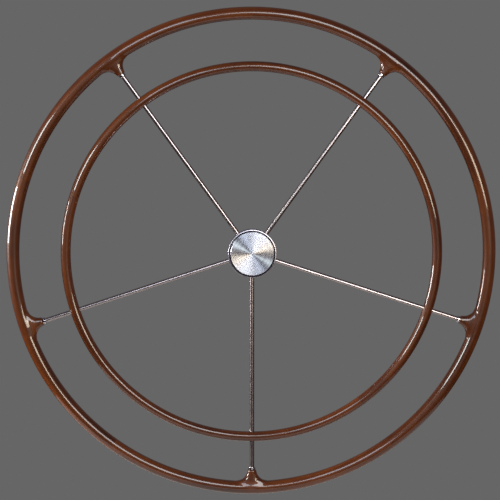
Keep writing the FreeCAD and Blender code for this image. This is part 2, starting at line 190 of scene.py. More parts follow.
def rounded(corners: Sequence[tuple[float, float, float]], steps: int = 5) -> np.ndarray:
    """An outline whose corners are replaced by arcs.

    Formula: at a corner with unit directions a and b to its neighbours and the angle 2h between
    them, the arc of radius r touches both sides at r / tan h, and its centre lies on the
    bisector at r / sin h.

    Args:
        corners: (radius, station, rounding) of each corner, in order.
        steps: points on each arc less one.

    Returns:
        Array (n, 2) of radius and station.
    """
    places = np.array([corner[:2] for corner in corners], float)
    count = len(corners)
    line: list[np.ndarray] = []
    for index, (_, _, radius) in enumerate(corners):
        here = places[index]
        if radius <= 0:
            line.append(here[None, :])
            continue
        back = places[(index - 1) % count] - here
        ahead = places[(index + 1) % count] - here
        back, ahead = back / np.linalg.norm(back), ahead / np.linalg.norm(ahead)
        half = math.acos(float(np.clip(back @ ahead, -1, 1))) / 2
        bisector = (back + ahead) / np.linalg.norm(back + ahead)
        centre = here + bisector * radius / math.sin(half)
        start = here + back * radius / math.tan(half) - centre
        turn = np.linspace(0.0, math.pi - 2 * half, steps + 1)
        side = here + ahead * radius / math.tan(half) - centre
        normal = side - start * (start @ side) / radius ** 2
        normal = normal / np.linalg.norm(normal) * radius
        line.append(centre + np.outer(np.cos(turn), start) + np.outer(np.sin(turn), normal))
    return np.concatenate(line)


def grid_quads(rows: int, columns: int, closed_rows: bool) -> np.ndarray:
    """Vertex numbers of the quads between neighbouring rows, each row a closed loop.

    Args:
        rows: number of rows.
        columns: points on each row.
        closed_rows: whether the last row joins the first.

    Returns:
        Array (quads, 4).
    """
    first = np.arange(rows if closed_rows else rows - 1)[:, None] * columns
    second = (first + columns) % (rows * columns)
    here = np.arange(columns)[None, :]
    beside = (here + 1) % columns
    corners = [first + here, first + beside, second + beside, second + here]
    return np.stack(corners, axis=-1).reshape(-1, 4)


def make_mesh(name: str, loops: np.ndarray, closed_rows: bool = False,
              poles: tuple[np.ndarray | None, np.ndarray | None] = (None, None)) -> Piece:
    """A smooth closed mesh from rows of points, each row a closed loop.

    The faces are turned to point outwards by the sign of the enclosed volume, the sum of
    p0 . (p1 x p2) over the triangles.

    Args:
        name: name of the new object.
        loops: array (rows, columns, 3).
        closed_rows: whether the last row joins the first.
        poles: a point that closes the first row and one that closes the last.

    Returns:
        The object, at the origin.
    """
    rows, columns, _ = loops.shape
    points = loops.reshape(-1, 3)
    quads = grid_quads(rows, columns, closed_rows)
    here = np.arange(columns)
    fans = []
    for pole, row in zip(poles, (0, rows - 1)):
        if pole is None:
            continue
        tip = np.full(columns, len(points))
        ring = np.stack([row * columns + here, row * columns + (here + 1) % columns], axis=-1)
        ring = ring[:, ::-1] if row == 0 else ring
        fans.append(np.stack([ring[:, 1], tip, ring[:, 0]], axis=-1)[:, ::-1])
        points = np.vstack([points, np.asarray(pole, float)[None, :]])
    triangles = np.concatenate([quads[:, [0, 1, 2]], quads[:, [0, 2, 3]], *fans])
    corners = points[triangles]
    volume = np.einsum("ij,ij->i", corners[:, 0], np.cross(corners[:, 1], corners[:, 2])).sum()
    faces = [quads, *fans]
    if volume < 0:
        faces = [part[:, ::-1] for part in faces]
    mesh = bpy.data.meshes.new(name)
    mesh.from_pydata(points.tolist(), [], [row for part in faces for row in part.tolist()])
    mesh.polygons.foreach_set("use_smooth", np.ones(len(mesh.polygons), bool))
    mesh.update()
    mesh.set_sharp_from_angle(angle=FACE_BREAK)
    made = bpy.data.objects.new(name, mesh)
    bpy.context.scene.collection.objects.link(made)
    return made


def weighted(piece: Piece) -> None:
    """Lets large faces rule the shading, so that flats look flat and roundings look round."""
    finish = piece.modifiers.new("flat_faces", "WEIGHTED_NORMAL")
    finish.keep_sharp = True


def grain_attribute(piece: Piece, values: np.ndarray) -> None:
    """Stores the straightened place of every vertex in its own stick of wood, for the grain."""
    layer = piece.data.attributes.new("grain", "FLOAT_VECTOR", "POINT")
    layer.data.foreach_set("vector", values.astype(np.float32).ravel())


def lathe(profile: np.ndarray, segments: int) -> np.ndarray:
    """Rows of a solid of revolution about the Y axis: (r cos t, y, r sin t).

    Args:
        profile: array (n, 2) of radius and y.
        segments: points on each row.

    Returns:
        Array (n, segments, 3).
    """
    turn = np.linspace(0, 2 * math.pi, segments, endpoint=False)
    radius, station = profile[:, :1], profile[:, 1:]
    return np.stack([radius * np.cos(turn), np.broadcast_to(station, (len(profile), segments)),
                     radius * np.sin(turn)], axis=-1)


def laid_on_spoke(rows: np.ndarray, plane: float) -> np.ndarray:
    """A solid about Y laid over so that its axis is the +X spoke: (y, plane + z, x)."""
    return np.stack([rows[..., 1], plane + rows[..., 2], rows[..., 0]], axis=-1)


def at_every_spoke(name: str, local: np.ndarray, closed_rows: bool = False,
                   poles: np.ndarray | None = None) -> Iterator[tuple[int, Piece]]:
    """The same piece at each of the spokes in turn.

    Args:
        name: start of the new objects' names.
        local: the rows of the piece on the +X spoke.
        closed_rows: whether its last row joins the first.
        poles: the points that close its first and its last row.

    Yields:
        The spoke's number, counted from 1, and the object.
    """
    for index in range(SPOKES):
        angle = spoke_angle(index)
        tips = (None, None) if poles is None else tuple(turned_to(poles, angle))
        yield index + 1, make_mesh(f"{name}_{index + 1}", turned_to(local, angle), closed_rows,
                                   tips)


def mount(piece: Piece, finish: Finish, slot: Slot, node: str,
          body: Body = Body.WHEEL) -> None:
    """Gives a new piece its material and body, and hides the CAD node that it stands for.

    Args:
        piece: the new object.
        finish: its material.
        slot: the record's material slot; not used.
        node: the CAD node that is hidden behind it.
        body: the body that it rides on.
    """
    piece.data.materials.append(finish)
    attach(piece, body.value)
    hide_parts(node)
    LOG.info("%s: %d faces for %s", piece.name, len(piece.data.polygons), node)


# ---- finishes -----------------------------------------------------------------------
class Nodes:
    """A short way to write a shader tree."""

    def __init__(self, name: str) -> None:
        """Starts a material with one Principled BSDF joined to its output.

        Args:
            name: the material's name.
        """
        self.material = bpy.data.materials.new(name)
        self.material.use_nodes = True
        self.tree = self.material.node_tree
        self.shader = self.tree.nodes["Principled BSDF"]

    def add(self, kind: str, inputs: dict | None = None, **settings: object) -> bpy.types.Node:
        """Adds a node.

        Args:
            kind: the node's type, less its ShaderNode prefix.
            inputs: socket name or number to a value, or to the socket that feeds it.
            settings: the node's own properties.

        Returns:
            The node.
        """
        node = self.tree.nodes.new("ShaderNode" + kind)
        for key, value in settings.items():
            setattr(node, key, value)
        for key, value in (inputs or {}).items():
            if isinstance(value, Socket):
                self.tree.links.new(value, node.inputs[key])
            else:
                node.inputs[key].default_value = value
        return node

    def place(self) -> Socket:
        """Object coordinates."""
        return self.add("TexCoord").outputs["Object"]

    def off_axis(self, place: Socket) -> Socket:
        """The distance of a place from the Y axis."""
        flat = self.add("VectorMath", {0: place, 1: (1.0, 0.0, 1.0)}, operation="MULTIPLY")
        return self.add("VectorMath", {0: flat.outputs[0]}, operation="LENGTH").outputs["Value"]

    def math(self, operation: str, a: object, b: object = 0.0) -> Socket:
        """The output of a Math node on two values or sockets."""
        return self.add("Math", {0: a, 1: b}, operation=operation).outputs[0]

    def blend(self, a: Socket, b: Socket,
              share: float) -> Socket:
        """A share of one value and the rest of another."""
        rest = self.math("MULTIPLY", b, 1 - share)
        return self.math("ADD", self.math("MULTIPLY", a, share), rest)

    def mix(self, share: object, first: object, second: object) -> Socket:
        """The output of a colour Mix node."""
        return self.add("Mix", {0: share, 6: first, 7: second}, data_type="RGBA").outputs[2]

    def ramp(self, value: Socket, low: float, high: float, first: float = 0.0,
             last: float = 1.0) -> Socket:
        """A value stretched so that low becomes first and high becomes last, cut off at both."""
        return self.add("MapRange", {0: value, 1: low, 2: high, 3: first, 4: last}).outputs[0]

    def noise(self, vector: Socket, scale: float | Sequence[float],
              detail: float = 4.0, roughness: float = 0.55,
              offset: Sequence[float] = (0, 0, 0)) -> Socket:
        """Noise on a stretched vector.

        Args:
            vector: the place.
            scale: its stretch, one for all directions or one for each.
            detail: octaves.
            roughness: weight of the fine octaves.
            offset: shift after the stretch.

        Returns:
            The noise, about 0 to 1.
        """
        stretch = (scale,) * 3 if isinstance(scale, float) else tuple(scale)
        place = self.add("Mapping", {0: vector, "Scale": stretch, "Location": tuple(offset)})
        return self.add("TexNoise", {"Vector": place.outputs[0], "Scale": 1.0, "Detail": detail,
                                     "Roughness": roughness}).outputs[0]

    def bump(self, height: Socket, depth: float,
             strength: float) -> Socket:
        """The normal output of a Bump node with a height of so many metres."""
        return self.add("Bump", {"Height": height, "Distance": depth,
                                 "Strength": strength}).outputs[0]

    def set(self, **values: object) -> None:
        """Sets the shader's sockets: a value is stored, a socket is linked.

        Args:
            values: the socket's name, with _ for a space, to its value or source.
        """
        for key, value in values.items():
            socket = self.shader.inputs[key.replace("_", " ")]
            if isinstance(value, Socket):
                self.tree.links.new(value, socket)
            else:
                socket.default_value = value


Colour = tuple[float, float, float, float]


def colour(red: int, green: int, blue: int) -> Colour:
    """A display colour from 0 to 255 as the linear light that shaders work in."""
    def linear(level: int) -> float:
        """The linear light of one channel."""
        share = level / 255
        return share / 12.92 if share <= 0.04045 else ((share + 0.055) / 1.055) ** 2.4
    return (linear(red), linear(green), linear(blue), 1.0)


def toned(tint: Colour, share: float, lift: float = 0.0) -> Colour:
    """A colour whose light is multiplied and lifted, no part above 1."""
    return tuple(min(1.0, part * share + lift) for part in tint[:3]) + (1.0,)


@dataclass(frozen=True)
class VarnishedWood:
    """Reddish-brown hardwood, its grain along the bend, under many coats of clear varnish."""

    name: str = "varnished_wood"
    dark: Colour = colour(50, 20, 6)
    body: Colour = colour(91, 43, 10)
    light: Colour = colour(118, 62, 18)
    pore: Colour = colour(40, 17, 8)
    varnish_roughness: float = 0.018

    def material(self) -> Finish:
        """Grain bands, fine streaks and pores on the straightened place, under a clear coat.

        Returns:
            The material. It reads the attribute "grain": metres along, out and back.
        """
        n = Nodes(self.name)
        place = n.add("Attribute", attribute_name="grain").outputs["Vector"]
        wander = n.noise(place, (5.0, 30.0, 30.0), detail=2.0)
        bands = n.noise(place, (2.2, 95.0, 70.0), detail=3.0, roughness=0.5)
        streaks = n.noise(place, (14.0, 900.0, 760.0), detail=5.0, roughness=0.62)
        pores = n.noise(place, (110.0, 3300.0, 3000.0), detail=2.0, roughness=0.5)
        figure = n.noise(place, 26.0, detail=2.0, offset=(3.0, 1.0, 2.0))
        tone = n.math("SUBTRACT", n.math("MULTIPLY", bands, 0.9), 0.02)
        for source, weight in ((wander, 0.55), (streaks, 0.75), (figure, 0.25)):
            swing = n.math("MULTIPLY", n.math("SUBTRACT", source, 0.5), weight)
            tone = n.math("ADD", tone, swing)
        deep = n.mix(n.ramp(tone, 0.12, 0.5), self.dark, self.body)
        wood = n.mix(n.ramp(tone, 0.48, 0.86), deep, self.light)
        open_pores = n.ramp(pores, 0.615, 0.70)
        wood = n.mix(n.math("MULTIPLY", open_pores, 0.55), wood, self.pore)
        relief = n.math("SUBTRACT", streaks, n.math("MULTIPLY", open_pores, 0.6))
        rubbed = n.noise(place, (42.0, 60.0, 60.0), detail=2.0, roughness=0.4)
        n.set(Base_Color=wood, Roughness=n.ramp(streaks, 0.0, 1.0, 0.42, 0.30),
              Normal=n.bump(relief, 0.12 * MM, 0.6), Specular_IOR_Level=0.35, IOR=1.45,
              Coat_Weight=1.0, Coat_Roughness=self.varnish_roughness, Coat_IOR=1.52,
              Coat_Tint=(1.0, 0.93, 0.84, 1.0), Coat_Normal=n.bump(rubbed, 0.08 * MM, 0.3))
        return n.material


@dataclass(frozen=True)
class PaintedGrooveShade:
    """Painted shade: a dark, matt band painted on the steel in the groove between two radii about
    the Y axis, where the steel lies in shade.
    """

    inner: float
    outer: float
    back: float  # y of the back of the painted shade
    # colour and roughness of the painted shade
    tint: Colour = colour(26, 16, 40)
    roughness: float = 0.5
    edge: float = 0.1 * MM

    def mask(self, n: Nodes, place: Socket) -> Socket:
        """1 where the shade is painted, 0 elsewhere.

        Args:
            n: the material's nodes.
            place: Object coordinates.

        Returns:
            The mask.
        """
        def past(value: Socket, limit: float) -> Socket:
            """0 below a limit and 1 above it."""
            return n.ramp(value, limit - self.edge, limit + self.edge)
        radius = n.off_axis(place)
        depth = n.add("SeparateXYZ", {0: place}).outputs[1]
        band = n.math("SUBTRACT", past(radius, self.inner), past(radius, self.outer))
        return n.math("MULTIPLY", band, n.math("SUBTRACT", 1.0, past(depth, self.back)))


@dataclass(frozen=True)
class Metal:
    """A plain metal with a direction of polish or a cast skin."""

    name: str
    tint: Colour
    roughness: float
    stretch: float | tuple[float, float, float]  # of the polish marks
    turn: float = 0.0  # of their direction, about Y
    variation: float = 0.08  # of the roughness
    tone: float = 0.05  # how much duller the dull places are
    mark_depth: float = 0.01 * MM
    # painted shade: a dark band in the groove round the cap, if any
    seal: PaintedGrooveShade | None = None

    def material(self) -> Finish:
        """Polish marks as noise on Object coordinates, stretched across the direction of work.

        Returns:
            The material.
        """
        n = Nodes(self.name)
        place = n.place()
        if self.turn:
            place = n.add("Mapping", {0: place, "Rotation": (0.0, self.turn, 0.0)}).outputs[0]
        marks = n.noise(place, self.stretch, detail=5.0, roughness=0.6)
        cloud = n.noise(place, 38.0, detail=3.0, offset=(1.0, 2.0, 3.0))
        shade = n.mix(n.ramp(n.blend(marks, cloud, 0.6), 0.3, 0.7),
                      toned(self.tint, 1 - self.tone * 3), self.tint)
        rough = n.ramp(n.blend(marks, cloud, 0.5), 0.3, 0.7,
                       self.roughness * (1 - self.variation * 3),
                       self.roughness * (1 + self.variation * 5))
        metallic: Socket | float = 1.0
        # painted shade: the groove's band is darkened and made matt and non-metallic
        if self.seal:
            mask = self.seal.mask(n, place)
            shade = n.mix(mask, shade, self.seal.tint)
            rough = n.math("MAXIMUM", rough, n.math("MULTIPLY", mask, self.seal.roughness))
            metallic = n.math("SUBTRACT", 1.0, mask)
        n.set(Base_Color=shade, Roughness=rough, Metallic=metallic,
              Normal=n.bump(marks, self.mark_depth, 0.5))
        return n.material


@dataclass(frozen=True)
class FaceTurned:
    """Stainless steel faced in the lathe: fine rings about Y that spread light radially."""

    name: str = "turned_steel"
    tint: Colour = colour(226, 228, 236)
    roughness: float = 0.37
    anisotropy: float = 0.97
    ring_pitch: float = 0.42 * MM

    def material(self) -> Finish:
        """Rings by the distance from the axis, with an anisotropic sheen across them.

        Returns:
            The material. It reads the piece's own UV map, whose u runs out from the axis.
        """
        n = Nodes(self.name)
        place = n.place()
        radius = n.off_axis(place)

        def rings_of_noise(scale: float, detail: float, roughness: float) -> Socket:
            """Noise that changes only with the distance from the axis."""
            inputs = {"W": n.math("MULTIPLY", radius, scale), "Detail": detail, "Scale": 1.0,
                      "Roughness": roughness}
            return n.add("TexNoise", inputs, noise_dimensions="1D").outputs[0]
        rings = n.math("SINE", n.math("MULTIPLY", radius, 2 * math.pi / self.ring_pitch))
        feed = rings_of_noise(1500.0, 4.0, 0.7)
        cut = n.math("ADD", n.math("MULTIPLY", rings, 0.25), feed)
        level = n.blend(rings_of_noise(170.0, 2.0, 0.5), n.noise(place, 45.0, detail=3.0), 0.55)
        shade = n.mix(n.ramp(n.blend(feed, level, 0.5), 0.36, 0.62), toned(self.tint, 0.80),
                      self.tint)
        rough = n.ramp(level, 0.35, 0.65, self.roughness * 0.85, self.roughness * 1.2)
        tangent = n.add("Tangent", direction_type="UV_MAP", uv_map="rings").outputs[0]
        n.set(Base_Color=shade, Roughness=rough, Metallic=1.0, Anisotropic=self.anisotropy,
              Tangent=tangent, Normal=n.bump(cut, 0.006 * MM, 0.35))
        return n.material


@dataclass(frozen=True)
class Moulded:
    """Rubber or plastic: matt, finely textured and a little uneven in tone."""

    name: str
    tint: Colour
    roughness: float
    texture: float = 900.0

    def material(self) -> Finish:
        """Fine noise for the skin and coarse noise for its tone.

        Returns:
            The material.
        """
        n = Nodes(self.name)
        place = n.place()
        coarse = n.noise(place, 60.0, detail=3.0)
        n.set(Base_Color=n.mix(n.ramp(coarse, 0.35, 0.7), self.tint, toned(self.tint, 1.5, 0.004)),
              Roughness=n.ramp(coarse, 0.0, 1.0, self.roughness * 0.85, self.roughness * 1.12),
              Normal=n.bump(n.noise(place, self.texture, detail=3.0), 0.04 * MM, 0.5))
        return n.material


@dataclass(frozen=True)
class BareWood:
    """Unvarnished hardwood of the dowels, its grain along the pin."""

    name: str = "dowel_wood"
    dark: Colour = colour(140, 96, 58)
    light: Colour = colour(196, 150, 100)

    def material(self) -> Finish:
        """Streaks of two tones on Object coordinates.

        Returns:
            The material.
        """
        n = Nodes(self.name)
        streaks = n.noise(n.place(), (500.0, 700.0, 500.0), detail=4.0)
        n.set(Base_Color=n.mix(n.ramp(streaks, 0.35, 0.65), self.dark, self.light), Roughness=0.6,
              Normal=n.bump(streaks, 0.05 * MM, 0.5))
        return n.material


# ---- the wooden rim -----------------------------------------------------------------
@dataclass(frozen=True)
class Bar:
    """A round bar bent to a circle about the wheel's axis, y from the wheel's plane."""

    radius: float
    section: float

    def points(self, along: np.ndarray, around: np.ndarray,
               section: float | None = None) -> np.ndarray:
        """Points of the bar.

        Formula: with R the bar's radius and s half its thickness, out = R + s cos a and
        y = s sin a, then (out cos t, y, out sin t).

        Args:
            along: angle t round the wheel.
            around: angle a round the section, 0 pointing out and a quarter turn back.
            section: half the thickness, if it isn't the bar's own.

        Returns:
            Array of points.
        """
        along, around = np.broadcast_arrays(along, around)
        half = self.section if section is None else section
        out = self.radius + half * np.cos(around)
        return np.stack([out * np.cos(along), half * np.sin(around), out * np.sin(along)], axis=-1)

    def distance(self, points: np.ndarray) -> np.ndarray:
        """Distance outside the bar's surface."""
        out = np.hypot(points[..., 0], points[..., 2]) - self.radius
        return np.hypot(out, points[..., 1]) - self.section

    def angles(self, points: np.ndarray) -> tuple[np.ndarray, np.ndarray]:
        """The angles round the wheel and round the section.

        Args:
            points: array with x, y and z last.

        Returns:
            Both angles, the second from 0 to a whole turn.
        """
        out = np.hypot(points[..., 0], points[..., 2]) - self.radius
        along = np.arctan2(points[..., 2], points[..., 0])
        return along, np.arctan2(points[..., 1], out) % (2 * math.pi)

    def grain(self, points: np.ndarray) -> np.ndarray:
        """The straightened place in the stick of wood.

        Args:
            points: array with x, y and z last.

        Returns:
            Metres along the bend, out from its centre line and back from it.
        """
        along, _ = self.angles(points)
        out = np.hypot(points[..., 0], points[..., 2]) - self.radius
        return np.stack([self.radius * along, out, points[..., 1]], axis=-1)

    def dowel_ends(self, around: np.ndarray, bore: float,
                   depth: float) -> tuple[np.ndarray, np.ndarray]:
        """The dowel hole in either end of a fifth of the bar.

        Args:
            around: angles round the section of the bar's columns.
            bore: radius of the hole.
            depth: how deep it is.

        Returns:
            Two rows for the first end, from the floor to the mouth, and two for the last.
        """
        half = SECTOR / 2
        ends = []
        for side in (-1, 1):
            mouth = self.points(np.full_like(around, side * half), around, bore)
            inwards = -side * np.array([-math.sin(side * half), 0.0, math.cos(side * half)])
            floor = mouth + depth * inwards
            ends.append(np.stack([mouth, floor] if side > 0 else [floor, mouth]))
        return ends[0], ends[1]


def square_rings(count: int) -> tuple[np.ndarray, np.ndarray, np.ndarray, np.ndarray]:
    """A square of grid points seen as square rings round its middle.

    Args:
        count: number of rings.

    Returns:
        Rows and columns as shares of the ring they are on (-1 to 1), the ring's number, and
        the angle round the middle, each (2 count + 1) squared.
    """
    step = np.arange(-count, count + 1)
    rows, columns = np.meshgrid(step, step, indexing="ij")
    ring = np.maximum(np.abs(rows), np.abs(columns))
    safe = np.maximum(ring, 1)
    return rows / safe, columns / safe, ring, np.arctan2(columns / safe, rows / safe)


@dataclass(frozen=True)
class Boss:
    """The carved boss that carries a spoke's end, on the +X spoke."""

    tip_radius: float = 548.0 * MM
    tip_width: float = 21.0 * MM
    tip_depth: float = 22.0 * MM
    root_radius: float = 600.0 * MM
    root_width: float = 120.0 * MM
    root_depth: float = 29.6 * MM
    hollow: float = 31.0 * MM
    hollow_radius: float = 546.4 * MM
    arc_end: float = 575.5 * MM
    roundness: float = 2.3

    def half_width(self, out: np.ndarray) -> np.ndarray:
        """Half the width at a distance from the axis.

        Formula: half the tip's width plus R - sqrt(R^2 - rise^2) along the hollow's arc, then a
        square-root taper to the root.

        Args:
            out: distances from the axis.

        Returns:
            Half the width at each.
        """
        def arc(place: np.ndarray) -> np.ndarray:
            """Half the width along the hollow's arc."""
            rise = np.clip(place - self.hollow_radius, 0.0, self.arc_end - self.hollow_radius)
            return self.tip_width / 2 + self.hollow - np.sqrt(self.hollow ** 2 - rise ** 2)
        start = arc(np.asarray(self.arc_end))
        share = share_of(out, self.arc_end, self.root_radius)
        return np.where(out <= self.arc_end, arc(out),
                        start + (self.root_width / 2 - start) * np.sqrt(share))

    def half_depth(self, out: np.ndarray) -> np.ndarray:
        """Half the depth at a distance from the axis.

        Formula: from the tip's to the root's by 3 s^2 - 2 s^3, with s the share of the way.

        Args:
            out: distances from the axis.

        Returns:
            Half the depth at each.
        """
        share = share_of(out, self.tip_radius, self.root_radius)
        eased = share * share * (3 - 2 * share)
        return (self.tip_depth + (self.root_depth - self.tip_depth) * eased) / 2

    def point(self, out: np.ndarray, cos: np.ndarray, sin: np.ndarray) -> np.ndarray:
        """The boss's surface at a distance from the axis in a direction.

        Formula: the superellipse |c|^n + |s|^n = 1 scaled to the half width and half depth.

        Args:
            out: distances from the axis.
            cos: the direction's part across.
            sin: its part forward.

        Returns:
            Array of points.
        """
        power = self.roundness
        size = (np.abs(cos) ** power + np.abs(sin) ** power) ** (1 / power)
        return np.stack([out, -self.half_depth(out) * sin / size,
                         self.half_width(out) * cos / size], axis=-1)

    def distance(self, points: np.ndarray, tip_edge: float) -> np.ndarray:
        """Distance outside the boss, along the line from its own middle.

        Formula: with q the superellipse measure of a point's section, the distance to the
        surface along that line is r (1 - 1 / q); the tip's flat end is joined by a blend.

        Args:
            points: array with x, y and z last.
            tip_edge: the rounding at the tip's edge.

        Returns:
            The distances, negative inside.
        """
        out, deep, across = points[..., 0], points[..., 1], points[..., 2]
        measure = (np.abs(across) / self.half_width(out)) ** self.roundness \
            + (np.abs(deep) / self.half_depth(out)) ** self.roundness
        measure = np.maximum(measure, 1e-9) ** (1 / self.roundness)
        side = np.hypot(across, deep) * (1 - 1 / measure)
        return -smooth_min(-side, out - self.tip_radius, tip_edge * 2)


@dataclass(frozen=True)
class Rim:
    """The outer rim: five bent pieces of varnished wood, each with its boss."""

    datum: Datum
    finish: Finish
    section: float = 16.0 * MM
    boss: Boss = Boss()
    blend: float = 4.0 * MM  # how far the boss's foot is eased in
    tip_edge: float = 1.6 * MM
    insert_bore: tuple[float, float] = (7.05 * MM, 576.0 * MM)  # radius, its end from the axis
    dowel_bore: tuple[float, float] = (5.05 * MM, 25.0 * MM)  # radius, depth
    rings: int = 32  # rings of quads from the boss's middle to its edge
    tip_ring: int = 11  # the rings of the tip's edge, the bore's mouth and its floor
    bore_ring: int = 7
    floor_ring: int = 4
    foot_share: float = 0.80  # share of the rings inside the boss's foot
    foot_samples: int = 160
    patch_angle: float = math.radians(5.0)
    patch_section: float = math.radians(84.0)  # half the patch's angle round the section
    long_rows: int = 60
    far_columns: int = 36
    grain_shift: tuple[float, float, float] = (3.1, 0.37, 0.23)

    @property
    def bar(self) -> Bar:
        """The bent bar without its bosses."""
        return Bar(self.datum.rim_outer - self.section, self.section)

    def distance(self, points: np.ndarray) -> np.ndarray:
        """Distance outside rim and boss together, with the boss's foot eased in.

        Args:
            points: array (n, 3), y from the wheel's plane.

        Returns:
            The distances, negative inside.
        """
        bar = self.bar.distance(points)
        near = smooth_min(bar, self.boss.distance(points, self.tip_edge), self.blend)
        return np.where(points[..., 0] < self.boss.root_radius + self.bar.section, near, bar)

    def patch(self) -> tuple[np.ndarray, np.ndarray]:
        """The square of grid rows and columns that becomes the boss.

        The square's rings are the boss's sections: from the outside in, rings on the bar up to
        where the boss stands out of it, rings down the boss to its tip, the tip's face, and the
        bore for the threaded insert with its floor.

        Returns:
            The points (rows, columns, 3), and each point's ring number counted from the middle.
        """
        rows, columns, ring, angle = square_rings(self.rings)
        cos, sin = np.cos(angle), np.sin(angle)
        edge_along = self.patch_angle * rows
        edge_around = math.pi + self.patch_section * columns

        samples = np.linspace(self.boss.tip_radius, self.boss.root_radius - 2 * MM,
                              self.foot_samples)
        inside = self.bar.distance(self.boss.point(samples[:, None, None] + 0 * cos, cos, sin)) < 0
        foot = samples[np.where(inside.any(axis=0), inside.argmax(axis=0), self.foot_samples - 1)]
        foot_along, foot_around = self.bar.angles(self.boss.point(foot, cos, sin))

        foot_ring = self.rings * self.foot_share
        outer = share_of(ring, self.rings, foot_ring)
        on_bar = self.bar.points(edge_along + (foot_along - edge_along) * outer,
                                 edge_around + (foot_around - edge_around) * outer)
        down = share_of(ring, foot_ring, self.tip_ring)
        on_boss = self.boss.point(foot + (self.boss.tip_radius - foot) * down, cos, sin)
        points = np.where((ring >= foot_ring)[..., None], on_bar, on_boss)

        bore, bore_end = self.insert_bore
        tip = self.boss.point(np.full_like(cos, self.boss.tip_radius), cos, sin)
        mouth = np.stack([tip[..., 0], -bore * sin, bore * cos], axis=-1)
        floor = mouth + np.array([bore_end - self.boss.tip_radius, 0, 0])
        pole = np.array([bore_end, 0, 0])
        ring_stops = (0, self.floor_ring, self.bore_ring, self.tip_ring)
        outlines = (pole, floor, mouth, tip)
        for inside in (2, 1, 0):
            start, end = ring_stops[inside:inside + 2]
            low, high = outlines[inside:inside + 2]
            between = low + (high - low) * share_of(ring, start, end)[..., None]
            points = np.where((ring < end)[..., None], between, points)
        return points, ring

    def segment(self) -> np.ndarray:
        """All rows of one rim piece on the +X spoke.

        Returns:
            Array (rows, columns, 3), y from the wheel's plane.
        """
        inner = np.linspace(-self.patch_angle, self.patch_angle, 2 * self.rings + 1)
        far = np.linspace(self.patch_angle, SECTOR / 2, self.long_rows + 1)[1:]
        along = np.concatenate([-far[::-1], inner, far])
        reach = self.patch_section
        near = np.linspace(math.pi - reach, math.pi + reach, 2 * self.rings + 1)
        rest = np.linspace(math.pi + reach, 3 * math.pi - reach, self.far_columns + 1)[1:-1]
        around = np.concatenate([near, rest])
        grid = self.bar.points(along[:, None], around[None, :])
        patch, ring = self.patch()
        block = grid[self.long_rows:self.long_rows + 2 * self.rings + 1, :2 * self.rings + 1]
        block[...] = patch
        loose = ring > self.bore_ring
        block[loose] = drawn_onto(patch[loose], self.distance)
        first, last = self.bar.dowel_ends(around, *self.dowel_bore)
        return np.concatenate([first, grid, last])

    def build(self) -> None:
        """Builds, dresses and mounts the five pieces."""
        wooden_pieces(self.segment(), self.bar, self.datum.plane, self.finish,
                      ("rim_wood", "rim_segment"), self.grain_shift)


@dataclass(frozen=True)
class Hole:
    """A blind hole in a bar's side, in line with the spoke or with Y."""

    around: float  # angle round the section where it opens
    radius: float
    depth: float  # how far from the bar's centre line its floor lies
    reach: float  # half the angle round the section that its patch takes

    def edge(self, bar: Bar, angle: np.ndarray, radius: float) -> tuple[np.ndarray, np.ndarray]:
        """The bar's two angles on a circle about the hole's line.

        Args:
            bar: the bar.
            angle: angles round the hole, 0 along the bar.
            radius: the circle's radius.

        Returns:
            Angle round the wheel and round the section, the second counted from the hole.
        """
        along, across = radius * np.cos(angle), radius * np.sin(angle)
        turn = np.arcsin(across / bar.section)
        out = bar.radius + bar.section * np.cos(self.around + turn)
        return np.arcsin(along / out), turn


